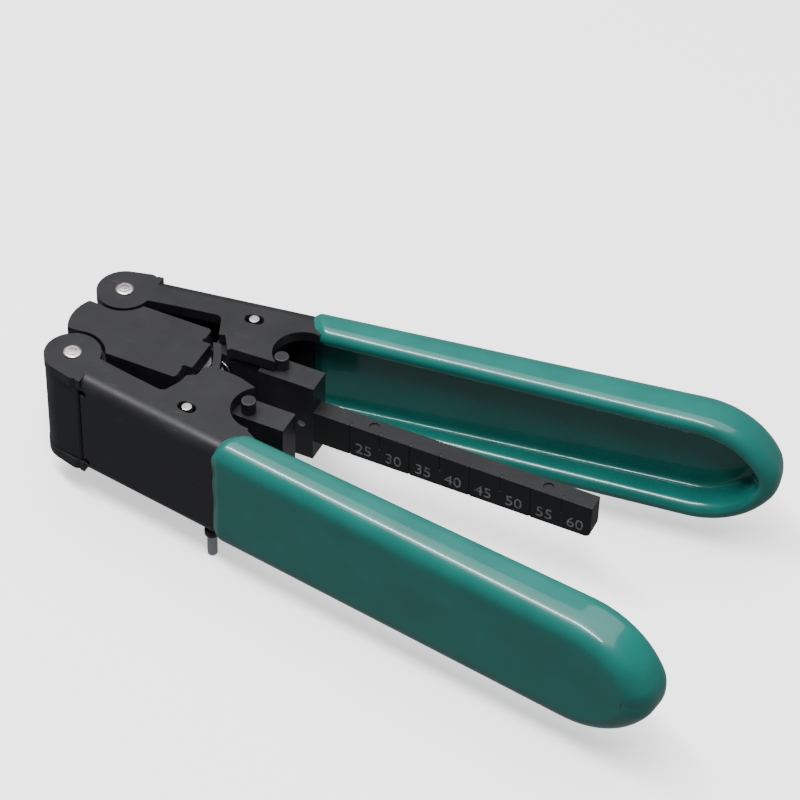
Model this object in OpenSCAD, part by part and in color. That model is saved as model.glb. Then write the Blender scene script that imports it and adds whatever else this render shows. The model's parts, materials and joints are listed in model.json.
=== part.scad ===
// Compact jacket stripping tool for flat drop cable.
// Two sheet-steel channel handles with dipped grips turn on rivets in a head block and push two
// sliding, spring-opened jaws together. Origin: midway between the pivots, on the underside plane.
// +X points to the handle ends, +Y to the right handle, +Z up through the top flanges.

/* [Handles] */
// Length of each channel, from the pivot line to the centre of its round end
handle_len = 100.4; // [80:0.1:120]
// Height of the channel over both flanges
channel_h = 19; // [15.8:0.1:22.8]
// Thickness of the sheet steel
sheet_t = 1.8; // [1.5:0.05:2.2]
// Outside radius of the long bends
bend_r = 2.2; // [2.1:0.1:3]
// Radius of the round end, seen from above
end_r = 3.4; // [3.2:0.1:4.1]
// Radius of the very end, seen from the side
tip_r = 5.3; // [4.8:0.1:6]
// Radius of the long arcs that lead into the end, seen from the side
tip_long_r = 13.7; // [13:0.1:18]
// Angle between each handle and the centre line when the tool is open
splay = 8.77; // [8.5:0.01:10]
// Width of the flange where the grip starts
flange_w = 4.85; // [4.6:0.05:5.4]

/* [Pivots] */
// Distance from the centre line to each pivot
pivot_y = 8.14; // [8:0.01:8.3]
// Diameter of the pivot rivets' shanks
rivet_d = 2.2; // [1.8:0.05:2.7]
// Diameter of the pivot rivets' heads
rivet_head_d = 2.9; // [2.8:0.05:3.6]
// Height of the pivot rivets' heads
rivet_head_h = 0.35; // [0.2:0.05:0.6]
// Radius of the handles' ears
ear_r = 4.4; // [4.2:0.1:4.6]
// Angle that each handle turns through when the tool is squeezed
close_angle = 3; // [2:0.1:3]

/* [Grips] */
// Thickness of the dipped coat
coat_t = 0.7; // [0.5:0.05:0.9]

/* [Head block] */
// Distance from the pivot line to the nose
nose_x = 4.5; // [4:0.1:5]
// Width of the head block's body
block_w = 12; // [11:0.1:12.4]
// Width of the cable channel
cable_w = 2.4; // [2:0.1:3]
// Height of the cable channel
cable_h = 3.5; // [2.5:0.1:4.4]

/* [Jaws] */
// Distance from the centre line to each jaw's gripping face when open
jaw_y = 4; // [3.8:0.1:4.6]
// Length of the jaws' tails behind the front blocks
tail_len = 9.3; // [8.5:0.1:11]
// Diameter of the drive pins
jaw_pin_d = 1.66; // [1.4:0.02:1.9]
// Diameter of the stop pins
stop_pin_d = 2.3; // [1.9:0.05:2.6]
// Thickness of the blades
blade_t = 0.8; // [0.5:0.05:0.8]
// Distance from the centre line to each cutting edge when open
blade_y = 1.5; // [1.3:0.1:2]
// Diameter of the blade screws' threads
screw_d = 1.6; // [1.4:0.05:1.7]

/* [Guides and springs] */
// Diameter of the guide rods
rod_d = 1.5; // [1.2:0.05:1.8]
// Radial clearance of every running fit
run_gap = 0.05; // [0.03:0.01:0.1]
// Outside diameter of the return springs
spring_d = 2.9; // [2.6:0.05:3.2]
// Depth of the spring pockets
pocket_deep = 3; // [2.5:0.1:3.2]

/* [Scale bar] */
// Length of the bar outside the jaw
bar_len = 46.2; // [40:0.1:50]
// Thickness of the bar
bar_t = 3; // [2.6:0.1:3.4]
// Height of the bar
bar_h = 6; // [5:0.1:7]
// Depth of the scale's engraved lines
tick_deep = 0.15; // [0.1:0.05:0.3]

/* [Latch] */
// Thickness of the latch lever
lever_t = 1.1; // [0.8:0.1:1.4]
// Diameter of the latch rivet
latch_rivet_d = 1.8; // [1.5:0.1:2]
// Diameter of the stud that the latch hooks on
stud_d = 1.5; // [1.3:0.1:1.5]
// Length of the peg below the lever
peg_len = 4.2; // [3.5:0.1:6]
// Diameter of the peg
peg_d = 1.6; // [1.3:0.1:1.9]

/* [Hidden] */
$fn = 64;

clear_cut = 0.05;                          // keeps a cutting face off the face it follows
far = 60;                                  // reach of cutting bodies, beyond any outline
mid_z = channel_h / 2;                     // level of the cable
// Side view of the end: distance and direction from the long arcs' centres to the end's centre.
tip_run = sqrt(pow(tip_long_r - tip_r, 2) - pow(tip_long_r - mid_z, 2));
tip_turn = atan2(tip_long_r - mid_z, tip_run);
web_y = pivot_y + 4.6;                     // web's outer face, carried back to the pivot line
coat_u = 28.8;                             // where the coat starts, along the handle
web_x = 4.1;                               // where the web starts behind the ear
flare = [2.3, pivot_y + 3.61];             // centre of the ear's outer shoulder
flare_r = 1.5;
hub_gap = 0.15;                            // between ear and hub, along Z
block_y = block_w / 2;
block_x = 16.4;                            // rear face of the head block's body
tongue_x = 17.8;                           // rear end of the plates' tongue
jaw_x = 17.3;                              // front face of the jaws
jaw_gap = 0.4;                             // between flange and jaw, along Z
jaw_z = sheet_t + jaw_gap;
jaw_h = channel_h - 2 * jaw_z;
tail_x = 26;                               // where the tail starts behind the front block
tail_y = jaw_y - 1;                        // the tail's inner face
tail_w = 4.2;
jaw_pin = [21.17, pivot_y + 2.88];         // drive pin, on the handle's centre line
stop_pin = [28.7, pivot_y - 2.64];
slot_play = 0.17;                          // side play of the drive pin in its slot
slot_travel = 1.1;                         // slot's length beyond its width
finger_r = 21.4;                           // finger's inner radius about the left pivot
finger_w = 1.2;
rod_x = 19.3;
rod_z = 4.2;                               // guide rods above and below the cable's level
spring_wire = 0.35;
blade_h = 8.8;
blade_out = 9;                             // blade's outer edge
screw_y = 6.5;
screw_levels = [mid_z - 1.5, mid_z + 1.5]; // blade screws below and above the cable's level
screw_len = 3.4;
bar_x = tail_x + tail_len;                 // root of the scale bar
bar_z = channel_h - 13;                    // underside of the scale bar
tenon_len = 4;
tenon_side = 0.6;                          // shoulder of the bar's tenon, all round
bar_pin_d = 1.4;
zero_x = jaw_x - blade_t + 0.1;            // the scale counts from the blades
lever_z = -0.1;                            // upper face of the latch lever
latch_p = [24.4, pivot_y + 0.26];          // latch rivet, on the left handle
latch_s = [26.2, pivot_y + 3.46];          // latch stud, on the right handle
latch_rest = 184;                          // direction of the stowed lever's arm
hook_reach = hook_distance();
hook_play = 0.1;
tail_turn = 109.1;                         // from the arm to the tail
tail_arm = 7.39;

function turn(p, a) = [p[0] * cos(a) - p[1] * sin(a), p[0] * sin(a) + p[1] * cos(a)];
function arc(c, r, from, to, steps = 8) =
    [for (i = [0:steps]) c + r * [cos(from + (to - from) * i / steps), sin(from + (to - from) * i / steps)]];
// A point given along the handle and outward from its web.
function along(u, v) = turn([u, v], splay) + [0, web_y];
// Distance from latch rivet to stud with the handles squeezed, from both pivots' turns.
function hook_distance() =
    let (p = turn(latch_p - [0, pivot_y], -close_angle) + [0, pivot_y],
         s = turn(latch_s - [0, pivot_y], -close_angle) + [0, pivot_y])
    norm([s[0] - p[0], s[1] + p[1]]);

module on_left() mirror([0, 1, 0]) children();
module plate(z, h) translate([0, 0, z]) linear_extrude(h) children();
module in_handle_frame() translate([0, web_y, 0]) rotate([0, 0, splay]) children();
// A round bar along Y, from y0 to y1.
module y_bar(x, z, d, y0, y1) translate([x, y0, z]) rotate([-90, 0, 0]) cylinder(d = d, h = y1 - y0);

// Channel section, width outward, with its outer corners rounded; inset moves every face inward.
module section(width, inset) {
    r = max(bend_r - inset, 0.3);
    high = channel_h - 2 * inset;
    intersection() {
        translate([0, inset]) square([width, high]);
        union() {
            translate([-far, inset]) square([far + width - r, high]);
            translate([-far, inset + r]) square([far + width, high - 2 * r]);
            for (z = [inset + r, channel_h - inset - r]) translate([width - r, z]) circle(r);
        }
    }
}

// Side view of the channel: straight edges that run into long arcs and a round end.
module side_view(inset) {
    start = handle_len + end_r - tip_r - tip_run;
    long_r = tip_long_r - inset;
    polygon(concat([[-far, inset], [-far, channel_h - inset]],
                   arc([start, channel_h - tip_long_r], long_r, 90, tip_turn, 5),
                   [for (i = [1:8]) let (a = tip_turn * (1 - 2 * i / 9))
                       [start + tip_run, mid_z] + (tip_r - inset) * [cos(a), sin(a)]],
                   arc([start, tip_long_r], long_r, -tip_turn, -90, 5)));
}

// Filled body of the channel behind the ear; insets give its outside, its inside and the coat.
module channel_body(inset) {
    in_handle_frame() intersection() {
        union() {
            translate([0, -far, 0]) rotate([90, 0, 90]) linear_extrude(handle_len) section(far - inset, inset);
            translate([handle_len, -end_r, 0]) rotate_extrude() section(end_r - inset, inset);
        }
        translate([0, far, 0]) rotate([90, 0, 0]) linear_extrude(2 * far) side_view(inset);
    }
}

// Outline shared by both handles: the ear, then the flange's outer side, closed by the inner points.
module flange_outline(inner) {
    polygon(concat([[0, pivot_y], [ear_r - 0.1, pivot_y - 0.64], [9.8, pivot_y + 0.36]],
                   arc([15.55, pivot_y + 0.01], 1.25, 98, 10), inner,
                   [along(handle_len, -2 * end_r), along(handle_len, 0), along(3.3, 0), flare]));
    hull() {
        translate([0, pivot_y]) circle(ear_r);
        translate(flare) circle(flare_r);
    }
    translate(along(handle_len, -end_r)) circle(end_r);
}

module right_outline() {
    difference() {
        flange_outline([[17.9, 5.5], [18.8, 5.86], [19.95, 4.2], [20.6, 3], [21.16, 3.48], [29.5, 3.86],
                        along(31.5, -flange_w)]);
        translate([31.2, 7.6]) circle(4.68);
    }
}

module left_outline() {
    difference() {
        flange_outline([[17.6, 6.6], [17.8, 4.9], [19.08, 4.1], [19.58, 2.03], [20.39, 1.22], [22, 1.34],
                        [25.2, 1.62], [27.96, 2.49], [29, 3], [31.6, 11.5], along(34, -flange_w - 0.08)]);
        translate([31.3, 6.3]) circle(4.7);
    }
    // The finger is an arc about the left pivot, cut square to reach into the right handle's notch.
    intersection() {
        translate([0, pivot_y]) difference() {
            circle(finger_r + finger_w);
            circle(finger_r);
        }
        polygon([[17.8, -3.52], [19.35, -3.72], [24, -1], [24, 2], [18.2, 3]]);
    }
}

module oval_slot() {
    reach = jaw_pin_d / 2 + slot_play;
    translate(jaw_pin) rotate(splay) {
        square([slot_travel, 2 * reach], center = true);
        for (x = [-1, 1] * slot_travel / 2) translate([x, 0]) circle(reach);
    }
}

// The bare sheet: both flanges, the web and the wrapped end.
module sheet_channel() {
    intersection() {
        linear_extrude(channel_h) children();
        difference() {
            channel_body(0);
            channel_body(sheet_t);
        }
    }
    for (z = [0, channel_h - sheet_t]) plate(z, sheet_t) intersection() {
        children();
        translate([-far, 0]) square([far + web_x, far]);
    }
}

module handle_cuts() {
    // The ear stands clear of the web, with a relief at the end of each bend.
    translate([-far, 0, sheet_t]) cube([far + web_x, far, channel_h - 2 * sheet_t]);
    for (z = [sheet_t + 0.6, channel_h - sheet_t - 0.6])
        translate([web_x + 0.5, far, z]) rotate([90, 0, 0]) cylinder(r = 0.6, h = far);
    translate([0, pivot_y, -1]) cylinder(d = rivet_d + 2 * run_gap, h = channel_h + 2);
    translate([0, 0, -1]) linear_extrude(channel_h + 2) oval_slot();
}

module right_sheet() {
    difference() {
        sheet_channel() right_outline();
        handle_cuts();
        translate([latch_s[0], latch_s[1], -1]) cylinder(d = stud_d, h = sheet_t + 2);
    }
}

module left_sheet() {
    difference() {
        sheet_channel() left_outline();
        handle_cuts();
        translate([latch_p[0], latch_p[1], -1]) cylinder(d = latch_rivet_d, h = sheet_t + 2);
    }
}

module right_handle() color("#26272a") right_sheet();
module left_handle() color("#26272a") on_left() left_sheet();

// The dipped coat covers the channel inside and out, from a slanting front edge.
module coat() {
    difference() {
        intersection() {
            translate([0, 0, -far]) linear_extrude(2 * far) {
                polygon([along(coat_u, far / 4), along(coat_u, 0), along(coat_u + 0.5, -1.6),
                         along(coat_u + 1.5, -flange_w - 1.2), along(coat_u + 2.7, -flange_w - coat_t),
                         along(handle_len, -2 * end_r - coat_t), along(handle_len, far / 4)]);
                translate(along(handle_len, -end_r)) circle(end_r + coat_t + clear_cut);
            }
            channel_body(-coat_t);
        }
        channel_body(sheet_t + coat_t);
        children();
    }
}

module right_grip() color("#1f6a66") coat() right_sheet();
module left_grip() color("#1f6a66") on_left() coat() left_sheet();

// Nose and plates that fill the gap between the ears at flange level.
module block_plates() {
    difference() {
        polygon(concat(arc([2.4, 0], 2.4 + nose_x, 210, 150),
                       [[-1.6, 3.4], [0, pivot_y - 4], [0, block_y], [block_x - 0.3, block_y],
                        [block_x + 0.1, block_y - 0.4], [block_x + 0.1, 3], [tongue_x, 3],
                        [tongue_x, -3], [block_x + 0.1, -3], [block_x + 0.1, 0.4 - block_y],
                        [block_x - 0.3, -block_y], [0, -block_y], [0, 4 - pivot_y], [-1.6, -3.4]]));
        for (s = [-1, 1]) {
            translate([0, s * pivot_y]) circle(ear_r + 0.6);
            translate([block_x + 0.3, s * 3.4]) circle(0.45);
        }
    }
}

module block_hubs() {
    // Each hub runs out straight to the front edge of the handle's web.
    for (s = [-1, 1]) mirror([0, s < 0 ? 1 : 0, 0]) hull() {
        translate([0, pivot_y]) circle(ear_r - 0.1);
        translate([web_x - 0.95, web_y - 0.3]) circle(0.6);
        translate([web_x - 0.95, pivot_y - 1.5]) circle(0.6);
    }
    polygon(concat(arc([2.4, 0], 2.4 + nose_x, 210, 150),
                   [[-1.6, 3.4], [0, block_y], [block_x, block_y], [block_x, -block_y], [0, -block_y],
                    [-1.6, -3.4]]));
}

module head_block() {
    color("#1d1e20") difference() {
        union() {
            for (z = [0, channel_h - sheet_t - hub_gap]) plate(z, sheet_t + hub_gap) block_plates();
            plate(sheet_t + hub_gap, channel_h - 2 * (sheet_t + hub_gap)) block_hubs();
        }
        for (s = [-1, 1]) translate([0, s * pivot_y, -1]) cylinder(d = rivet_d, h = channel_h + 2);
        translate([-far, -cable_w / 2, mid_z - cable_h / 2]) cube([2 * far, cable_w, cable_h]);
        // Round funnel that leads the cable into the nose.
        translate([-nose_x - 0.4, 0, mid_z]) rotate([0, 90, 0])
            cylinder(r1 = cable_h / 2 + 1.2, r2 = cable_h / 2 - 0.6, h = 2.6);
    }
}

module pivot_rivet(y) {
    gap = 0.03;
    color("#b0aaa2") translate([0, y, 0]) {
        translate([0, 0, -gap]) cylinder(d = rivet_d, h = channel_h + 2 * gap);
        for (z = [-gap - rivet_head_h, channel_h + gap]) translate([0, 0, z])
            cylinder(d = rivet_head_d, h = rivet_head_h);
    }
}

module left_pivot_rivet() pivot_rivet(-pivot_y);
module right_pivot_rivet() pivot_rivet(pivot_y);

// One jaw, drawn on the right side; guide is the diameter of its guide bores.
module jaw(guide) {
    difference() {
        plate(jaw_z, jaw_h) {
            polygon([[jaw_x, jaw_y], [tail_x, jaw_y], [tail_x, pivot_y + 4.9], [jaw_x, pivot_y + 3.7]]);
            translate([tail_x - 0.1, tail_y]) square([tail_len + 0.1, tail_w]);
        }
        translate([jaw_pin[0], jaw_pin[1], 0]) cylinder(d = jaw_pin_d, h = channel_h);
        translate([stop_pin[0], stop_pin[1], 0]) cylinder(d = stop_pin_d, h = channel_h);
        for (z = [mid_z - rod_z, mid_z + rod_z]) {
            y_bar(rod_x, z, spring_d + 0.3, 0, jaw_y + pocket_deep);
            y_bar(rod_x, z, guide, jaw_y, pivot_y + 6);
        }
        for (z = screw_levels) translate([jaw_x - 1, screw_y, z]) rotate([0, 90, 0])
            cylinder(d = screw_d, h = 1 + screw_len);
    }
}

module left_jaw() color("#2b2c2f") on_left() jaw(rod_d);

module right_jaw() {
    color("#2b2c2f") difference() {
        jaw(rod_d + 2 * run_gap);
        translate([bar_x, 0, 0]) tenon(1);
        bar_pin_hole();
    }
}

module drive_pin(y) color("#8f9296") translate([jaw_pin[0], y, 0.3]) cylinder(d = jaw_pin_d, h = channel_h - 0.1);
module left_jaw_pin() drive_pin(-jaw_pin[1]);
module right_jaw_pin() drive_pin(jaw_pin[1]);

module stop_dowel(y) color("#3a3b3e") translate([stop_pin[0], y, 0]) cylinder(d = stop_pin_d, h = channel_h);
module left_stop_pin() stop_dowel(-stop_pin[1]);
module right_stop_pin() stop_dowel(stop_pin[1]);

// Blade with a bevelled edge and a round bite for the cable.
module blade() {
    front = jaw_x - blade_t;
    difference() {
        translate([front, blade_y, mid_z - blade_h / 2]) cube([blade_t, blade_out - blade_y, blade_h]);
        plate(0, channel_h) polygon([[jaw_x + 1, blade_y - 1], [front + 0.1, blade_y - 1],
                                     [front + 0.1, blade_y], [jaw_x, blade_y + 1.1],
                                     [jaw_x + 1, blade_y + 1.1]]);
        translate([front - 1, blade_y, mid_z]) rotate([0, 90, 0]) cylinder(r = 0.8, h = blade_t + 2);
        for (z = screw_levels) translate([0, screw_y, z]) screw_shape(front);
    }
}

// Countersunk screw along X, its head flush with the face at x.
module screw_shape(x) {
    translate([x, 0, 0]) rotate([0, 90, 0]) {
        cylinder(d1 = screw_d + 1, d2 = screw_d, h = 0.5);
        cylinder(d = screw_d, h = blade_t + screw_len - 0.1);
    }
}

module blade_screws() {
    front = jaw_x - blade_t;
    for (z = screw_levels) difference() {
        translate([0, screw_y, z]) screw_shape(front);
        translate([front - 0.1, screw_y - 0.15, z - 1]) cube([0.35, 0.3, 2]);
    }
}

module left_blade() color("#c9ccd0") on_left() blade();
module right_blade() color("#c9ccd0") blade();
module left_blade_screws() color("#9a9da1") on_left() blade_screws();
module right_blade_screws() color("#9a9da1") blade_screws();

module guide_rod(z) color("#a9acb0") y_bar(rod_x, z, rod_d, -jaw_y - pocket_deep - 1.5, jaw_y + pocket_deep + 1);
module upper_guide_rod() guide_rod(mid_z + rod_z);
module lower_guide_rod() guide_rod(mid_z - rod_z);

// Envelope of a coil spring that fills both pockets.
module return_spring(z) {
    end = jaw_y + pocket_deep;
    color("#b5b8bc") difference() {
        y_bar(rod_x, z, spring_d, -end, end);
        y_bar(rod_x, z, spring_d - 2 * spring_wire, -end - 1, end + 1);
    }
}
module upper_return_spring() return_spring(mid_z + rod_z);
module lower_return_spring() return_spring(mid_z - rod_z);

// Tenon at the bar's root; it reaches back into the jaw's tail.
module tenon(over) translate([-tenon_len, tail_y + tenon_side, bar_z + tenon_side])
    cube([tenon_len + over, bar_t - 2 * tenon_side, bar_h - 2 * tenon_side]);

module bar_pin_hole() y_bar(bar_x - tenon_len / 2, bar_z + bar_h / 2, bar_pin_d, 0, pivot_y);

module scale_bar() {
    top = bar_z + bar_h;
    color("#202124") difference() {
        union() {
            translate([bar_x, tail_y, bar_z]) cube([bar_len, bar_t, bar_h]);
            translate([bar_x, 0, 0]) tenon(0.1);
        }
        bar_pin_hole();
        // Lines every 5 mm from 25; each second one is half as high.
        for (mark = [25:5:60]) {
            high = mark % 10 == 5 ? bar_h : bar_h / 2;
            translate([zero_x + mark - 0.15, tail_y - 1, top - high]) cube([0.3, 1 + tick_deep, high + 1]);
            translate([zero_x + mark - 0.15, tail_y - 1, top - tick_deep]) cube([0.3, 1.8, 1]);
        }
        for (x = [45, 73.8]) translate([x, tail_y + bar_t / 2, top - 0.3]) cylinder(d = 1.7, h = 1);
        // Round lower corner at the free end.
        translate([bar_x + bar_len, 0, bar_z]) rotate([-90, 0, 0]) linear_extrude(far) difference() {
            square(2, center = true);
            translate([-1, -1]) circle(1);
        }
    }
}

module scale_bar_pin() color("#8f9296")
    y_bar(bar_x - tenon_len / 2, bar_z + bar_h / 2, bar_pin_d, tail_y, tail_y + tail_w);

// Lever with its arm along +X: the hook opens on the clockwise side, the tail carries the peg.
module lever_body() {
    half = stud_d / 2 + hook_play;
    neck = hook_reach - 3.2;
    tip = hook_reach + half + 0.78;
    difference() {
        union() {
            linear_extrude(lever_t) polygon([[-1, 1.8], [neck, 1.3], [neck + 0.5, 1.7], [tip, 1.7], [tip, -1.6],
                                             [neck + 0.5, -1.6], [neck, -1.3], [-1, -1.8]]);
            cylinder(r = 2.2, h = lever_t);
            rotate(tail_turn) translate([0, -1.1, 0]) cube([tail_arm, 2.2, lever_t]);
            rotate(tail_turn) translate([tail_arm, 0, 0]) cylinder(r = 1.2, h = lever_t);
        }
        translate([0, 0, -1]) cylinder(d = latch_rivet_d + 2 * run_gap, h = lever_t + 2);
        translate([hook_reach, 0, -1]) cylinder(r = half, h = lever_t + 2);
        translate([hook_reach - half, -4, -1]) cube([2 * half, 4, lever_t + 2]);
        rotate(tail_turn) translate([tail_arm, 0, -1]) cylinder(d = peg_d, h = lever_t + 2);
    }
}

module at_latch() translate([latch_p[0], -latch_p[1], lever_z - lever_t]) rotate(latch_rest) children();

module latch_lever() color("#34363a") at_latch() lever_body();

module latch_peg() color("#8f9296") at_latch() rotate(tail_turn) translate([tail_arm, 0, -peg_len])
    cylinder(d = peg_d, h = lever_t + peg_len);

module latch_rivet() {
    under = lever_z - lever_t - run_gap;
    color("#b0aaa2") translate([latch_p[0], -latch_p[1], 0]) {
        translate([0, 0, under]) cylinder(d = latch_rivet_d, h = sheet_t - under);
        translate([0, 0, under - 0.6]) cylinder(r = 1.6, h = 0.6);
    }
}

module latch_stud() {
    under = lever_z - lever_t - 0.15;
    color("#b0aaa2") translate([latch_s[0], latch_s[1], 0]) {
        translate([0, 0, under]) cylinder(d = stud_d, h = sheet_t - under);
        translate([0, 0, under - 0.6]) cylinder(r = 1.3, h = 0.6);
    }
}

head_block();
left_pivot_rivet();
right_pivot_rivet();
left_handle();
right_handle();
left_grip();
right_grip();
left_jaw();
right_jaw();
left_jaw_pin();
right_jaw_pin();
left_blade();
right_blade();
left_blade_screws();
right_blade_screws();
left_stop_pin();
right_stop_pin();
upper_guide_rod();
lower_guide_rod();
upper_return_spring();
lower_return_spring();
scale_bar();
scale_bar_pin();
latch_lever();
latch_rivet();
latch_peg();
latch_stud();
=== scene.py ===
"""Detailed model of a compact jacket stripping tool for flat drop cable."""

import json
import math

import bmesh
import bpy
from mathutils import Matrix, Vector, noise


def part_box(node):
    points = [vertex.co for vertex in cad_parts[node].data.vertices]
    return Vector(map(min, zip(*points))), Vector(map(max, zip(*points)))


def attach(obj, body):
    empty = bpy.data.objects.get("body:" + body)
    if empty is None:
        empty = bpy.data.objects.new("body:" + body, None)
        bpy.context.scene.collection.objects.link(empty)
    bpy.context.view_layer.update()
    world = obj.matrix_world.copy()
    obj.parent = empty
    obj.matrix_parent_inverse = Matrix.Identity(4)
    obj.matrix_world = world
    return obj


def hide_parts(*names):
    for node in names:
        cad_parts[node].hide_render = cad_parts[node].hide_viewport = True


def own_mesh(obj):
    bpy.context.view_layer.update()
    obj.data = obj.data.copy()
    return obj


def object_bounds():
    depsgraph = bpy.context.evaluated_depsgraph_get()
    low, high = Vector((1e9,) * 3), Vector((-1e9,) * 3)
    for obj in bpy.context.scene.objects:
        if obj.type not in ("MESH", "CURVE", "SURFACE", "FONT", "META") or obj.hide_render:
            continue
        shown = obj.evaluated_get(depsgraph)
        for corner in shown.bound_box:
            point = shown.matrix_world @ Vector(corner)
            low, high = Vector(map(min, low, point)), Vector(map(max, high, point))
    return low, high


bl_info = {
    "name": "Drop cable stripping tool",
    "version": (1, 0, 0),
    "blender": (4, 5, 0),
    "location": "View3D > Sidebar > Stripper",
    "description": "Builds the tool's dipped grips, steelwork, springs and scale on its CAD frame",
    "category": "Object",
}

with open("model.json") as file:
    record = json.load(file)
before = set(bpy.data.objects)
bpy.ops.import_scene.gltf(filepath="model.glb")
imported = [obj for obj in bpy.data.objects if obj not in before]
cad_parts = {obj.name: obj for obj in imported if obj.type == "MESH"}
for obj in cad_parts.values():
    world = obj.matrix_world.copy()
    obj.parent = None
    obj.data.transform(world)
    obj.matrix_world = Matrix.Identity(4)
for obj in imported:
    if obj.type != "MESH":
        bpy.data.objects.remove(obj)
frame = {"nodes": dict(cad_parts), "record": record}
CAD_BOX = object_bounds()
MM = 0.001
RECORD = frame["record"]
SLOT_OF = {part["node"]: part["material_slot"] for part in RECORD["subparts"]}
BODY_OF = {node: body for body, nodes in RECORD["behaviour"]["bodies"].items() for node in nodes}
JOINTS = {joint["name"]: joint for joint in RECORD["behaviour"]["joints"]}
PIVOT_Y = abs(JOINTS["left_handle_swing"]["pos_m"][1]) / MM
SHEET_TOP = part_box("right_handle")[1][2] / MM
MIDDLE = SHEET_TOP / 2


# ---------------------------------------------------------------- settings

class GripSettings(bpy.types.PropertyGroup):
    coat: bpy.props.FloatProperty(name="Coat", description="Thickness of the dipped coat in mm", default=0.7)
    sheet: bpy.props.FloatProperty(
        name="Sheet", description="Thickness of the steel sheet in mm", default=1.8)
    bend: bpy.props.FloatProperty(
        name="Bend", description="Outside bend radius of the sheet in mm", default=2.2)
    splay: bpy.props.FloatProperty(
        name="Splay", description="Angle of each handle to the centre line", default=math.radians(8.77),
        subtype="ANGLE", unit="ROTATION")
    web: bpy.props.FloatProperty(
        name="Web", description="Web's outer face beyond the pivot in mm", default=4.6)
    front: bpy.props.FloatProperty(
        name="Front", description="Where the coat starts, in mm along the handle", default=28.8)
    length: bpy.props.FloatProperty(
        name="Length", description="Length to the coated end's centre in mm", default=100.2)
    end_radius: bpy.props.FloatProperty(
        name="End", description="Radius of the end from above in mm", default=3.4)
    tip_radius: bpy.props.FloatProperty(
        name="Tip", description="Radius of the very end from the side in mm", default=5.3)
    long_radius: bpy.props.FloatProperty(
        name="Lead-in", description="Radius of the arcs before the tip in mm", default=13.7)
    flange: bpy.props.FloatProperty(
        name="Flange", description="Flange width at the coat's front in mm", default=4.85)
    lip: bpy.props.FloatProperty(
        name="Lip", description="Length over which the coat thins out in mm", default=1.5)


class FinishSettings(bpy.types.PropertyGroup):
    pvc: bpy.props.FloatVectorProperty(
        name="Dipped PVC", description="Colour of the grips",
        default=(0.003, 0.115, 0.096), size=3, subtype="COLOR")
    paint: bpy.props.FloatVectorProperty(
        name="Black paint", description="Colour of the painted steel", default=(0.010, 0.010, 0.0115), size=3,
        subtype="COLOR")
    dark: bpy.props.FloatVectorProperty(
        name="Blackened steel", description="Colour of the jaws and dowels",
        default=(0.013, 0.013, 0.0145), size=3,
        subtype="COLOR")
    nickel: bpy.props.FloatVectorProperty(
        name="Nickel", description="Colour of the rivets",
        default=(0.68, 0.65, 0.61), size=3, subtype="COLOR")
    steel: bpy.props.FloatVectorProperty(
        name="Bright steel", description="Colour of rods, blades and springs",
        default=(0.56, 0.57, 0.59), size=3,
        subtype="COLOR")
    mark: bpy.props.FloatVectorProperty(
        name="Scale marks", description="Colour of the scale's numbers", default=(0.13, 0.14, 0.15), size=3,
        subtype="COLOR")


class DetailSettings(bpy.types.PropertyGroup):
    edge: bpy.props.FloatProperty(name="Edge", description="Width of the broken edges in mm", default=0.14)
    wire: bpy.props.FloatProperty(name="Wire", description="Diameter of the spring wire in mm", default=0.35)
    coils: bpy.props.IntProperty(name="Coils", description="Turns of each return spring", default=9)
    digit: bpy.props.FloatProperty(
        name="Digit", description="Height of the scale's numbers in mm", default=2.0)


class StageSettings(bpy.types.PropertyGroup):
    azimuth: bpy.props.FloatProperty(
        name="Azimuth", description="Direction of the camera round the tool", default=math.radians(23.914),
        subtype="ANGLE", unit="ROTATION")
    elevation: bpy.props.FloatProperty(
        name="Elevation", description="Height of the camera's view", default=math.radians(43.144),
        subtype="ANGLE", unit="ROTATION")
    roll: bpy.props.FloatProperty(
        name="Roll", description="Turn of the camera about its view", default=math.radians(1.974),
        subtype="ANGLE", unit="ROTATION")
    distance: bpy.props.FloatProperty(
        name="Distance", description="Camera to target", default=0.46686, unit="LENGTH")
    target: bpy.props.FloatVectorProperty(
        name="Target", description="Point that the camera looks at",
        default=(0.04836, 0.00607, 0.01763), size=3,
        subtype="XYZ", unit="LENGTH")
    lens: bpy.props.FloatProperty(
        name="Lens", description="Focal length in mm on a 36 mm sensor", default=139.44)


CLASSES = [GripSettings, FinishSettings, DetailSettings, StageSettings]


# ---------------------------------------------------------------- finishes

def new_material(name):
    """An empty node material with its Principled shader, and a helper that adds linked nodes."""
    material = bpy.data.materials.new(name)
    material.use_nodes = True
    tree = material.node_tree
    shader = tree.nodes["Principled BSDF"]

    def add(kind, **inputs):
        node = tree.nodes.new(kind)
        for socket, value in inputs.items():
            target = node.inputs[socket.replace("_", " ")]
            if isinstance(value, bpy.types.NodeSocket):
                tree.links.new(value, target)
            else:
                target.default_value = value
        return node

    return material, tree, shader, add


def shades(tree, factor, stops):
    """A colour ramp on a factor; stops are (position, colour or grey)."""
    ramp = tree.nodes.new("ShaderNodeValToRGB")
    tree.links.new(factor, ramp.inputs["Fac"])
    while len(ramp.color_ramp.elements) < len(stops):
        ramp.color_ramp.elements.new(0.5)
    for element, (position, value) in zip(ramp.color_ramp.elements, stops):
        element.position = position
        element.color = (value, value, value, 1) if isinstance(value, float) else (*value, 1)
    return ramp.outputs["Color"]


def tint(colour, gain):
    return tuple(min(1.0, max(0.0, channel * gain)) for channel in colour)


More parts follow.
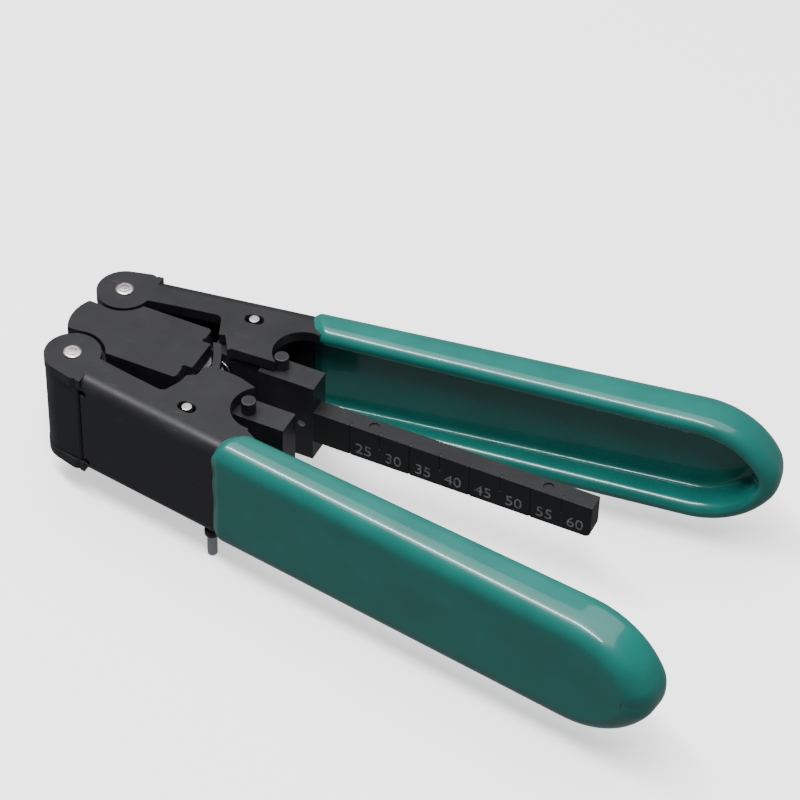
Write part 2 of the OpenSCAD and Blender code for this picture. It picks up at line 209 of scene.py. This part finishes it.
def dipped_pvc(colour):
    """Glossy dip coat: soft sags in the surface, faint cloudiness and a few specks of dust."""
    material, tree, shader, add = new_material("dipped_pvc")
    place = add("ShaderNodeTexCoord").outputs["Object"]
    cloud = add("ShaderNodeTexNoise", Vector=place, Scale=140.0, Detail=4.0, Roughness=0.55)
    base = shades(tree, cloud.outputs["Fac"],
                  [(0.3, tint(colour, 0.86)), (0.62, colour), (0.8, tint(colour, 1.12))])
    tree.links.new(base, shader.inputs["Base Color"])
    sag = add("ShaderNodeTexNoise", Vector=place, Scale=75.0, Detail=1.0, Roughness=0.3)
    dust = add("ShaderNodeTexVoronoi", Vector=place, Scale=420.0)
    speck = shades(tree, dust.outputs["Distance"], [(0.0, 1.0), (0.11, 0.0)])
    low = add("ShaderNodeBump", Height=sag.outputs["Fac"], Strength=0.35, Distance=0.0004)
    fine = add("ShaderNodeBump", Height=speck, Strength=0.12, Distance=0.00008, Normal=low.outputs["Normal"])
    tree.links.new(fine.outputs["Normal"], shader.inputs["Normal"])
    smear = add("ShaderNodeTexNoise", Vector=place, Scale=55.0, Detail=5.0, Roughness=0.65)
    tree.links.new(shades(tree, smear.outputs["Fac"], [(0.35, 0.26), (0.7, 0.38)]),
                   shader.inputs["Roughness"])
    shader.inputs["Coat Weight"].default_value = 0.5
    shader.inputs["Coat Roughness"].default_value = 0.04
    shader.inputs["Specular IOR Level"].default_value = 0.3
    return material


def coated_steel(name, colour, rough, grain=900.0, depth=0.3, scratch=0.0):
    """Painted or blackened steel with a fine orange peel, handling marks and thin scratches."""
    material, tree, shader, add = new_material(name)
    place = add("ShaderNodeTexCoord").outputs["Object"]
    patch = add("ShaderNodeTexNoise", Vector=place, Scale=160.0, Detail=6.0, Roughness=0.6)
    base = shades(tree, patch.outputs["Fac"],
                  [(0.3, tint(colour, 0.8)), (0.55, colour), (0.78, tint(colour, 1.3))])
    long_way = add("ShaderNodeMapping", Vector=place, Scale=(220.0, 2600.0, 2600.0))
    marks = add("ShaderNodeTexNoise", Vector=long_way.outputs["Vector"], Scale=1.0, Detail=3.0, Roughness=0.7)
    line = shades(tree, marks.outputs["Fac"], [(0.66, 0.0), (0.74, 1.0)])
    mix = add("ShaderNodeMix")
    mix.data_type = "RGBA"
    weight = add("ShaderNodeMath")
    weight.operation = "MULTIPLY"
    tree.links.new(line, weight.inputs[0])
    weight.inputs[1].default_value = scratch
    tree.links.new(weight.outputs[0], mix.inputs["Factor"])
    tree.links.new(base, mix.inputs["A"])
    mix.inputs["B"].default_value = (0.09, 0.09, 0.094, 1)
    tree.links.new(mix.outputs["Result"], shader.inputs["Base Color"])
    peel = add("ShaderNodeTexNoise", Vector=place, Scale=grain, Detail=2.0)
    bump = add("ShaderNodeBump", Height=peel.outputs["Fac"], Strength=depth, Distance=0.00005)
    tree.links.new(bump.outputs["Normal"], shader.inputs["Normal"])
    tree.links.new(shades(tree, patch.outputs["Fac"], [(0.3, rough - 0.06), (0.75, rough + 0.1)]),
                   shader.inputs["Roughness"])
    shader.inputs["Specular IOR Level"].default_value = 0.3
    return material


def bare_metal(name, colour, rough, direction=(300.0, 300.0, 3000.0), lines=0.5, pits=0.0):
    """Ground or drawn metal: fine lines along one way, uneven polish and small pits."""
    material, tree, shader, add = new_material(name)
    place = add("ShaderNodeTexCoord").outputs["Object"]
    drawn = add("ShaderNodeMapping", Vector=place, Scale=direction)
    grind = add("ShaderNodeTexNoise", Vector=drawn.outputs["Vector"], Scale=1.0, Detail=4.0, Roughness=0.6)
    mottle = add("ShaderNodeTexNoise", Vector=place, Scale=900.0, Detail=4.0, Roughness=0.6)
    base = shades(tree, mottle.outputs["Fac"],
                  [(0.3, tint(colour, 0.62)), (0.6, colour), (0.8, tint(colour, 1.15))])
    tree.links.new(base, shader.inputs["Base Color"])
    first = add("ShaderNodeBump", Height=grind.outputs["Fac"], Strength=lines, Distance=0.00003)
    second = add("ShaderNodeBump", Height=mottle.outputs["Fac"], Strength=pits, Distance=0.00008,
                 Normal=first.outputs["Normal"])
    tree.links.new(second.outputs["Normal"], shader.inputs["Normal"])
    tree.links.new(shades(tree, grind.outputs["Fac"], [(0.3, rough - 0.08), (0.7, rough + 0.12)]),
                   shader.inputs["Roughness"])
    shader.inputs["Metallic"].default_value = 1.0
    return material


def scale_ink(colour):
    """Thin grey filling of the scale's numbers, worn in places."""
    material, tree, shader, add = new_material("scale_ink")
    place = add("ShaderNodeTexCoord").outputs["Object"]
    wear = add("ShaderNodeTexNoise", Vector=place, Scale=1500.0, Detail=4.0, Roughness=0.7)
    tree.links.new(shades(tree, wear.outputs["Fac"], [(0.36, tint(colour, 0.35)), (0.5, colour)]),
                   shader.inputs["Base Color"])
    tree.links.new(shades(tree, wear.outputs["Fac"], [(0.3, 0.5), (0.7, 0.7)]), shader.inputs["Roughness"])
    return material


def finish(name):
    """The named finish, made on first use from the colours in the panel."""
    if name in bpy.data.materials:
        return bpy.data.materials[name]
    colours = bpy.context.scene.stripper_finish
    paint = tuple(colours.paint)
    dark = tuple(colours.dark)
    steel = tuple(colours.steel)
    makers = {
        "dipped_pvc": lambda: dipped_pvc(tuple(colours.pvc)),
        "sheet_paint": lambda: coated_steel("sheet_paint", paint, 0.42, scratch=0.35),
        # The edge finish is the paint made 2.6 times lighter: edge wear plus a painted highlight along every
        # broken edge.
        "sheet_edge_wear_and_highlight": lambda: coated_steel("sheet_edge_wear_and_highlight", tint(paint, 2.6), 0.33, grain=1400.0, scratch=0.6),
        "block_paint": lambda: coated_steel("block_paint", tint(paint, 0.95), 0.45,
                                            grain=1200.0, scratch=0.2),
        "blackened": lambda: coated_steel("blackened", dark, 0.38, grain=2200.0, depth=0.2, scratch=0.4),
        # The edge finish of the blackened parts is twice as light: edge wear plus a painted highlight along
        # every broken edge.
        "blackened_edge_wear_and_highlight": lambda: coated_steel("blackened_edge_wear_and_highlight", tint(dark, 2.0), 0.34, grain=2200.0),
        "bar_paint": lambda: coated_steel("bar_paint", tint(dark, 0.6), 0.5, grain=1800.0, scratch=0.25),
        "nickel": lambda: bare_metal("nickel", tuple(colours.nickel), 0.3, lines=0.2, pits=0.5),
        "ground_steel": lambda: bare_metal("ground_steel", steel, 0.26),
        "pin_steel": lambda: bare_metal("pin_steel", tint(steel, 0.75), 0.3, pits=0.3),
        "blade_steel": lambda: bare_metal("blade_steel", tint(steel, 1.15), 0.2,
                                          direction=(300.0, 300.0, 5000.0)),
        "spring_wire": lambda: bare_metal("spring_wire", steel, 0.24, direction=(800.0, 800.0, 800.0)),
        "scale_ink": lambda: scale_ink(tuple(colours.mark)),
    }
    return makers[name]()


# ---------------------------------------------------------------- shared making

def new_piece(name, mesh, body, slot_name, *finishes):
    """Links a finished mesh as a piece that rides on a body."""
    piece = bpy.data.objects.new(name, mesh)
    bpy.context.scene.collection.objects.link(piece)
    for finish_name in finishes:
        mesh.materials.append(finish(finish_name))
    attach(piece, body)
    return piece


def mesh_from(points, faces, name, scale=MM):
    """Mesh from points in mm, with doubled points joined and faces turned outward."""
    mesh = bpy.data.meshes.new(name)
    mesh.from_pydata([tuple(scale * c for c in p) for p in points], [], faces)
    work = bmesh.new()
    work.from_mesh(mesh)
    bmesh.ops.remove_doubles(work, verts=work.verts, dist=1e-6)
    bmesh.ops.dissolve_degenerate(work, edges=work.edges, dist=1e-7)
    bmesh.ops.recalc_face_normals(work, faces=work.faces)
    for face in work.faces:
        face.smooth = True
    work.to_mesh(mesh)
    work.free()
    return mesh


def machined_copy(node, edge, cut_x=None, sharp=math.radians(28)):
    """A copy of a CAD node's mesh with clean flat faces and broken edges; the edges take material 1.

    cut_x drops what lies beyond that x, where a grip hides it.
    """
    source = frame["nodes"][node]
    mesh = source.data.copy()
    mesh.name = node + "_detail"
    mesh.materials.clear()
    work = bmesh.new()
    work.from_mesh(mesh)
    bmesh.ops.remove_doubles(work, verts=work.verts, dist=2e-6)
    if cut_x is not None:
        everything = work.verts[:] + work.edges[:] + work.faces[:]
        bmesh.ops.bisect_plane(work, geom=everything, plane_co=(cut_x * MM, 0, 0), plane_no=(1, 0, 0),
                               clear_outer=True)
    bmesh.ops.dissolve_limit(work, angle_limit=math.radians(0.6), verts=work.verts, edges=work.edges)
    edges = [e for e in work.edges if len(e.link_faces) == 2 and e.calc_face_angle(0.0) > sharp]
    for face in work.faces:
        face.smooth = True
        face.material_index = 0
    # Bevel faces take material 1, the lighter edge finish: edge wear plus a painted highlight along each
    # edge.
    if edges:
        bmesh.ops.bevel(work, geom=edges, offset=edge * MM, offset_type="OFFSET", segments=2, profile=0.5,
                        affect="EDGES", clamp_overlap=True, material=1, harden_normals=False)
    for face in work.faces:
        face.smooth = True
    work.to_mesh(mesh)
    work.free()
    mesh.set_sharp_from_angle(angle=math.radians(32))
    return mesh


def machined(node, finish_name, edge_wear_and_highlight_finish=None, edge=None, cut_x=None):
    """Replaces a CAD node with its machined copy."""
    detail = bpy.context.scene.stripper_detail
    mesh = machined_copy(node, detail.edge if edge is None else edge, cut_x)
    piece = new_piece(node + "_detail", mesh, BODY_OF[node], SLOT_OF[node],
                      finish_name, edge_wear_and_highlight_finish or finish_name)
    weighted = piece.modifiers.new("weighted_normals", "WEIGHTED_NORMAL")
    weighted.keep_sharp = True
    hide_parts(node)
    return piece


def tube_along(path, radius, sides=10):
    """Points and faces of a closed round tube along a path of points."""
    points, faces = [], []
    path = [Vector(p) for p in path]
    last = len(path) - 1
    guide = Vector((0, 1, 0))
    for i, centre in enumerate(path):
        tangent = (path[min(i + 1, last)] - path[max(i - 1, 0)]).normalized()
        across = tangent.cross(guide).normalized()
        up = across.cross(tangent).normalized()
        for k in range(sides):
            turn = 2 * math.pi * k / sides
            points.append(centre + radius * (math.cos(turn) * across + math.sin(turn) * up))
    for i in range(last):
        for k in range(sides):
            n = (k + 1) % sides
            faces.append((i * sides + k, i * sides + n, (i + 1) * sides + n, (i + 1) * sides + k))
    faces.append(tuple(range(sides)))
    faces.append(tuple(last * sides + k for k in reversed(range(sides))))
    return points, faces


# ---------------------------------------------------------------- grips

class GripShape:
    """The dipped channel: a C-shaped wall swept round the handle's side outline."""

    def __init__(self, settings, side):
        self.s = settings
        self.side = side
        self.web_y = PIVOT_Y + settings.web
        self.wall = settings.sheet + 2 * settings.coat
        lead = settings.long_radius - settings.tip_radius
        rise = settings.long_radius - MIDDLE
        self.run = math.sqrt(lead * lead - rise * rise)
        self.turn = math.atan2(rise, self.run)
        self.arc_start = settings.length + settings.end_radius - settings.tip_radius - self.run

    def to_world(self, u, v, z):
        """A point along the handle, outward from its web and above its middle, in the row frame."""
        a = self.s.splay
        x = u * math.cos(a) - v * math.sin(a)
        y = self.web_y + u * math.sin(a) + v * math.cos(a)
        return x, self.side * y, MIDDLE + z

    def outline(self):
        """Upper half of the side outline.

        Each row holds u, z, inward u, inward z, distance from the front and closeness to the tip.
        """
        s = self.s
        rows = []
        near = [0, 0.25, 0.5, 0.8, 1.1, 1.5, 2, 2.7, 3.6, 4.8]
        rest = [4.8 + (self.arc_start - s.front - 4.8) * i / 44 for i in range(1, 45)]
        for d in near + rest:
            rows.append((s.front + d, MIDDLE + s.coat, 0.0, -1.0, d, 0.0))
        done = self.arc_start - s.front
        quarter = math.pi / 2
        for i in range(1, 15):
            angle = quarter + (self.turn - quarter) * i / 14
            r = s.long_radius + s.coat
            rows.append((self.arc_start + r * math.cos(angle), MIDDLE - s.long_radius + r * math.sin(angle),
                         -math.cos(angle), -math.sin(angle), done + i, 1 - angle / quarter))
        for i in range(1, 15):
            angle = self.turn * (1 - i / 14)
            r = s.tip_radius + s.coat
            rows.append((self.arc_start + self.run + r * math.cos(angle), r * math.sin(angle),
                         -math.cos(angle), -math.sin(angle), done + 14 + i, 1 - angle / quarter))
        return rows

    def wall_profile(self, u, thin, tip):
        """Half section as (inward distance, v): web outside, bend, flange, rim, flange inside, web inside."""
        s = self.s
        share = (u - s.front) / (s.length - s.front)
        rim_v = -(s.flange + (2 * s.end_radius - s.flange) * min(1.0, share)) - s.coat + thin
        top = s.coat - thin
        bend_in = s.bend + s.coat + 1.2 * tip * tip
        bend_v = s.bend + s.coat + 0.9 * tip * tip
        rim_out = self.wall / 2 + 0.7 * tip
        rim_deep = self.wall / 2 + 1.2 * tip
        rim_in = self.wall - rim_out
        floor = top + thin - self.wall + thin
        corner = 0.9 + 0.4 * tip
        quarter = math.pi / 2
        half = []
        for i in range(7):
            a = quarter * (1 - i / 6)
            half.append((thin + bend_in * (1 - math.cos(a)), top - bend_v * (1 - math.sin(a))))
        low = top - bend_v
        high = rim_v + rim_deep
        half += [(thin, low + (high - low) * i / 4) for i in range(1, 4)]
        for i in range(6):
            a = quarter * i / 5
            half.append((thin + (rim_out - thin) * (1 - math.cos(a)), high - rim_deep * math.sin(a)))
        for i in range(1, 6):
            a = quarter * i / 5
            half.append((rim_out + (rim_in - thin) * math.sin(a), rim_v + rim_in * (1 - math.cos(a))))
        inner = self.wall - thin + 1.1 * tip * tip
        begin = rim_v + rim_in
        end = floor - corner
        half += [(inner, begin + (end - begin) * i / 4) for i in range(1, 4)]
        for i in range(5):
            a = quarter * i / 4
            half.append((inner + corner * (1 - math.cos(a)), end + corner * math.sin(a)))
        return half

    def ring(self, row):
        """One closed section as points in the row frame: upper half out and back, then the lower half."""
        u0, z0, nu, nz, d, tip = row
        thin = self.s.coat * 0.86 * (1 - smooth_step(d / self.s.lip))
        half = self.wall_profile(u0, thin, tip)
        slant = 1 - smooth_step(d / 14)
        upper = []
        first = (u0 + nu * half[0][0], z0 + nz * half[0][0], half[0][1])
        last = (u0 + nu * half[-1][0], z0 + nz * half[-1][0], half[-1][1])
        upper += [(first[0], first[1] * k / 5, first[2]) for k in (0, 1, 2, 3, 4)]
        upper += [(u0 + nu * a, z0 + nz * a, v) for a, v in half]
        upper += [(last[0], last[1] * k / 4, last[2]) for k in (3, 2, 1, 0)]
        lower = [(u, -z, v) for u, z, v in reversed(upper)]
        loop = upper + lower[1:-1]
        points = []
        for u, z, v in loop:
            wave = noise.noise(Vector((z * 0.35, v * 0.35, 3.7 * self.side)))
            u += slant * (0.33 * max(0.0, -v) + 0.45 * wave)
            points.append(self.to_world(u, v, z))
        return points

    def mesh(self, name):
        rings = [self.ring(row) for row in self.outline()]
        size = len(rings[0])
        points = [p for ring in rings for p in ring]
        faces = []
        for i in range(len(rings) - 1):
            for k in range(size):
                n = (k + 1) % size
                faces.append((i * size + k, i * size + n, (i + 1) * size + n, (i + 1) * size + k))
        # The front is closed across the sheet, which hides the cap.
        half = size // 2 + 1
        middle = half // 2
        for k in range(middle - 1):
            faces.append((k, k + 1, half - 2 - k, half - 1 - k))
            a, b = (size - k) % size, (size - k - 1) % size
            c, d = half + k, half - 1 + k
            faces.append((a, b, c, d))
        return mesh_from(points, faces, name)


def smooth_step(x):
    x = min(1.0, max(0.0, x))
    return x * x * (3 - 2 * x)


class STRIPPER_OT_grips(bpy.types.Operator):
    """Make both dipped grips"""
    bl_idname = "stripper.grips"
    bl_label = "Dipped grips"

    def execute(self, context):
        for name, side in (("left_grip", -1), ("right_grip", 1)):
            shape = GripShape(context.scene.stripper_grip, side)
            piece = new_piece(name + "_dip", shape.mesh(name + "_dip"), BODY_OF[name], SLOT_OF[name],
                              "dipped_pvc")
            smoother = piece.modifiers.new("smooth", "SUBSURF")
            smoother.levels = smoother.render_levels = 1
            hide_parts(name)
        return {"FINISHED"}


# ---------------------------------------------------------------- steelwork

class STRIPPER_OT_handles(bpy.types.Operator):
    """Make the bare ends of both channel handles"""
    bl_idname = "stripper.handles"
    bl_label = "Channel handles"

    def execute(self, context):
        for name in ("left_handle", "right_handle"):
            machined(name, "sheet_paint", "sheet_edge_wear_and_highlight", cut_x=42)
        return {"FINISHED"}


class STRIPPER_OT_head(bpy.types.Operator):
    """Make the head block"""
    bl_idname = "stripper.head"
    bl_label = "Head block"

    def execute(self, context):
        machined("head_block", "block_paint", "sheet_edge_wear_and_highlight")
        return {"FINISHED"}


class STRIPPER_OT_jaws(bpy.types.Operator):
    """Make both sliding jaws"""
    bl_idname = "stripper.jaws"
    bl_label = "Jaws"

    def execute(self, context):
        for name in ("left_jaw", "right_jaw"):
            machined(name, "blackened", "blackened_edge_wear_and_highlight")
        return {"FINISHED"}


class STRIPPER_OT_blades(bpy.types.Operator):
    """Make the blades and their screws"""
    bl_idname = "stripper.blades"
    bl_label = "Blades"

    def execute(self, context):
        for name in ("left_blade", "right_blade"):
            machined(name, "blade_steel", edge=0.05)
        for name in ("left_blade_screws", "right_blade_screws"):
            machined(name, "ground_steel", edge=0.04)
        return {"FINISHED"}


class STRIPPER_OT_pins(bpy.types.Operator):
    """Make the drive pins, dowels, guide rods and cross pin"""
    bl_idname = "stripper.pins"
    bl_label = "Pins and rods"

    def execute(self, context):
        for name in ("left_jaw_pin", "right_jaw_pin"):
            machined(name, "nickel", edge=0.18)
        for name in ("left_stop_pin", "right_stop_pin"):
            machined(name, "blackened", "blackened_edge_wear_and_highlight", edge=0.2)
        for name in ("upper_guide_rod", "lower_guide_rod", "scale_bar_pin"):
            machined(name, "ground_steel", edge=0.12)
        return {"FINISHED"}


def domed_head(points, faces, centre, base, rim, height, up):
    """Adds a peened head: a low dome with a faint ring where the tool struck it."""
    steps = [(0.0, 0.0), (1.0, 0.0), (1.0, 0.45), (0.93, 0.78), (0.8, 0.93), (0.62, 0.99), (0.52, 0.9),
             (0.46, 0.99), (0.25, 1.0), (0.0, 0.97)]
    sides = 40
    start = len(points)
    for radius, rise in steps:
        for k in range(sides):
            a = 2 * math.pi * k / sides
            points.append((centre[0] + rim * radius * math.cos(a), centre[1] + rim * radius * math.sin(a),
                           base + up * height * rise))
    for i in range(len(steps) - 1):
        for k in range(sides):
            n = (k + 1) % sides
            faces.append((start + i * sides + k, start + i * sides + n,
                          start + (i + 1) * sides + n, start + (i + 1) * sides + k))


class STRIPPER_OT_rivets(bpy.types.Operator):
    """Make the pivot rivets with peened heads"""
    bl_idname = "stripper.rivets"
    bl_label = "Pivot rivets"

    def execute(self, context):
        for name in ("left_pivot_rivet", "right_pivot_rivet"):
            low, high = (Vector(corner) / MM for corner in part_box(name))
            centre = (low + high) / 2
            rim = (high.x - low.x) / 2
            seat = (high.z - low.z - SHEET_TOP) / 2
            points, faces = tube_along([(centre.x, centre.y, SHEET_TOP * i / 4) for i in range(5)], 1.1, 32)
            domed_head(points, faces, centre, SHEET_TOP + 0.03, rim, seat - 0.03, 1)
            domed_head(points, faces, centre, -0.03, rim, seat - 0.03, -1)
            mesh = mesh_from(points, faces, name + "_peened")
            mesh.set_sharp_from_angle(angle=math.radians(40))
            piece = new_piece(name + "_peened", mesh, BODY_OF[name], SLOT_OF[name], "nickel")
            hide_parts(name)
        return {"FINISHED"}


class STRIPPER_OT_latch(bpy.types.Operator):
    """Make the latch lever with its rivet, peg and stud"""
    bl_idname = "stripper.latch"
    bl_label = "Latch"

    def execute(self, context):
        machined("latch_lever", "blackened", "blackened_edge_wear_and_highlight", edge=0.1)
        machined("latch_peg", "pin_steel", edge=0.15)
        for name in ("latch_rivet", "latch_stud"):
            machined(name, "nickel", edge=0.12)
        return {"FINISHED"}


class STRIPPER_OT_springs(bpy.types.Operator):
    """Make both return springs as real coils"""
    bl_idname = "stripper.springs"
    bl_label = "Return springs"

    def execute(self, context):
        detail = context.scene.stripper_detail
        for name in ("upper_return_spring", "lower_return_spring"):
            low, high = (Vector(corner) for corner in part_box(name))
            centre = (low + high) / 2
            long = (high.y - low.y) / MM - detail.wire
            radius = (high.x - low.x) / MM / 2 - detail.wire / 2
            path = []
            turns = detail.coils + 2
            for i in range(turns * 20 + 1):
                t = i / 20
                # The first and last turn lie flat against their seats.
                share = min(max(t - 1, 0) * (1 - 2 * detail.wire / long) / detail.coils,
                            1 - 2 * detail.wire / long)
                flat = detail.wire / long * (min(t, 1) + min(max(t - turns + 1, 0), 1))
                angle = 2 * math.pi * t
                path.append((centre.x / MM + radius * math.cos(angle),
                             centre.y / MM + long * (share + flat - 0.5),
                             centre.z / MM + radius * math.sin(angle)))
            points, faces = tube_along(path, detail.wire / 2, 8)
            piece = new_piece(name + "_coil", mesh_from(points, faces, name + "_coil"), BODY_OF[name],
                              SLOT_OF[name], "spring_wire")
            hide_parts(name)
            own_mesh(piece)
        return {"FINISHED"}


# ---------------------------------------------------------------- scale bar

class STRIPPER_OT_scale_bar(bpy.types.Operator):
    """Make the bar with its lines and numbers"""
    bl_idname = "stripper.scale_bar"
    bl_label = "Scale bar"

    def execute(self, context):
        detail = context.scene.stripper_detail
        machined("scale_bar", "bar_paint", "sheet_edge_wear_and_highlight", edge=0.08)
        low, high = (Vector(corner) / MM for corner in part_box("scale_bar"))
        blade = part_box("right_blade")[0][0] / MM
        work = bmesh.new()
        for number in range(25, 61, 5):
            curve = bpy.data.curves.new("number", "FONT")
            curve.body = str(number)
            curve.size = detail.digit * 1.42 * MM
            curve.extrude = 0.02 * MM
            curve.resolution_u = 4
            text = bpy.data.objects.new("number", curve)
            context.scene.collection.objects.link(text)
            context.view_layer.update()
            mesh = bpy.data.meshes.new_from_object(text.evaluated_get(context.evaluated_depsgraph_get()))
            place = Matrix.Translation(((blade + number + 1.0) * MM, low.y * MM, (low.z + 0.85) * MM))
            mesh.transform(place @ Matrix.Rotation(math.pi / 2, 4, "X"))
            work.from_mesh(mesh)
            bpy.data.objects.remove(text)
            bpy.data.curves.remove(curve)
            bpy.data.meshes.remove(mesh)
        numbers = bpy.data.meshes.new("scale_numbers")
        work.to_mesh(numbers)
        work.free()
        new_piece("scale_numbers", numbers, BODY_OF["scale_bar"], SLOT_OF["scale_bar"], "scale_ink")
        return {"FINISHED"}


# ---------------------------------------------------------------- stage

FLOOR_GAP = 0.0002  # metres between the tool's lowest point and the floor
FLOOR_SIDE = 6.0    # metres


def area_light(name, place, aim, size, length, power):
    """A soft rectangular light that faces its aim; size and length in metres, power in watts."""
    lamp = bpy.data.lights.new(name, "AREA")
    lamp.shape = "RECTANGLE"
    lamp.size = size
    lamp.size_y = length
    lamp.energy = power
    light = bpy.data.objects.new(name, lamp)
    light.location = place
    light.rotation_euler = (Vector(aim) - Vector(place)).to_track_quat("-Z", "Y").to_euler()
    bpy.context.scene.collection.objects.link(light)


def paper_floor():
    """Pale matt paper with a barely visible tooth."""
    material, tree, shader, add = new_material("paper_floor")
    place = add("ShaderNodeTexCoord").outputs["Object"]
    fibre = add("ShaderNodeTexNoise", Vector=place, Scale=900.0, Detail=3.0)
    tree.links.new(shades(tree, fibre.outputs["Fac"], [(0.3, 0.84), (0.7, 0.88)]),
                   shader.inputs["Base Color"])
    shader.inputs["Roughness"].default_value = 0.85
    shader.inputs["Emission Color"].default_value = (1, 1, 1, 1)
    shader.inputs["Emission Strength"].default_value = 0.9
    return material


class STRIPPER_OT_stage(bpy.types.Operator):
    """Set up the floor, the lights and the camera"""
    bl_idname = "stripper.stage"
    bl_label = "Stage"

    def execute(self, context):
        stage = context.scene.stripper_stage
        ground = CAD_BOX[0][2] - FLOOR_GAP
        mesh = bpy.data.meshes.new("floor")
        half = FLOOR_SIDE / 2
        corners = [(-half, -half, ground), (half, -half, ground), (half, half, ground), (-half, half, ground)]
        mesh.from_pydata(corners, [], [(0, 1, 2, 3)])
        mesh.materials.append(paper_floor())
        floor = bpy.data.objects.new("floor", mesh)
        context.scene.collection.objects.link(floor)
        # The floor is kept out of reflections and bounces, as dark flags beside the tool would.
        floor.visible_glossy = False
        floor.visible_diffuse = False

        world = bpy.data.worlds.new("studio")
        world.use_nodes = True
        world.node_tree.nodes["Background"].inputs["Color"].default_value = (0.95, 0.97, 1.0, 1)
        world.node_tree.nodes["Background"].inputs["Strength"].default_value = 0.32
        context.scene.world = world
        middle = (0.045, 0, 0.005)
        area_light("overhead", (0.03, 0.15, 0.8), middle, 1.1, 0.9, 9.5)
        area_light("strip", (-0.02, -0.12, 0.55), middle, 0.6, 0.06, 6.0)

        az, el, roll = stage.azimuth, stage.elevation, stage.roll
        back = Vector((math.sin(az) * math.cos(el), -math.cos(az) * math.cos(el), math.sin(el)))
        right = (-back).cross(Vector((0, 0, 1))).normalized()
        up = right.cross(-back)
        turned_right = right * math.cos(roll) + up * math.sin(roll)
        turned_up = up * math.cos(roll) - right * math.sin(roll)
        camera = bpy.data.objects.new("camera", bpy.data.cameras.new("camera"))
        camera.data.lens = stage.lens
        camera.data.sensor_width = 36.0
        camera.data.clip_start = 0.01
        pose = Matrix((turned_right, turned_up, back)).transposed().to_4x4()
        pose.translation = Vector(stage.target) + back * stage.distance
        camera.matrix_world = pose
        context.scene.collection.objects.link(camera)
        context.scene.camera = camera
        return {"FINISHED"}


# ---------------------------------------------------------------- panel and registration

STEPS = ("grips", "handles", "head", "jaws", "blades", "pins", "rivets", "latch", "springs", "scale_bar",
         "stage")


class STRIPPER_PT_tool(bpy.types.Panel):
    """Lists the tool's settings and the steps that build it"""
    bl_idname = "STRIPPER_PT_tool"
    bl_label = "Drop cable stripper"
    bl_space_type = "VIEW_3D"
    bl_region_type = "UI"
    bl_category = "Stripper"

    def draw(self, context):
        scene = context.scene
        for title, settings in (("Grips", scene.stripper_grip), ("Finishes", scene.stripper_finish),
                                ("Details", scene.stripper_detail), ("Stage", scene.stripper_stage)):
            box = self.layout.box()
            box.label(text=title)
            for name in settings.__annotations__:
                box.prop(settings, name)
        for step in STEPS:
            self.layout.operator("stripper." + step)


CLASSES += [STRIPPER_OT_grips, STRIPPER_OT_handles, STRIPPER_OT_head, STRIPPER_OT_jaws, STRIPPER_OT_blades,
            STRIPPER_OT_pins, STRIPPER_OT_rivets, STRIPPER_OT_latch, STRIPPER_OT_springs,
            STRIPPER_OT_scale_bar,
            STRIPPER_OT_stage, STRIPPER_PT_tool]
SETTINGS = {"stripper_grip": GripSettings, "stripper_finish": FinishSettings,
            "stripper_detail": DetailSettings,
            "stripper_stage": StageSettings}


def register():
    for entry in CLASSES:
        bpy.utils.register_class(entry)
    for name, group in SETTINGS.items():
        setattr(bpy.types.Scene, name, bpy.props.PointerProperty(type=group))


def unregister():
    for name in SETTINGS:
        delattr(bpy.types.Scene, name)
    for entry in reversed(CLASSES):
        bpy.utils.unregister_class(entry)


def main():
    register()
    for step in STEPS:
        getattr(bpy.ops.stripper, step)()


if __name__ == "__main__":
    main()
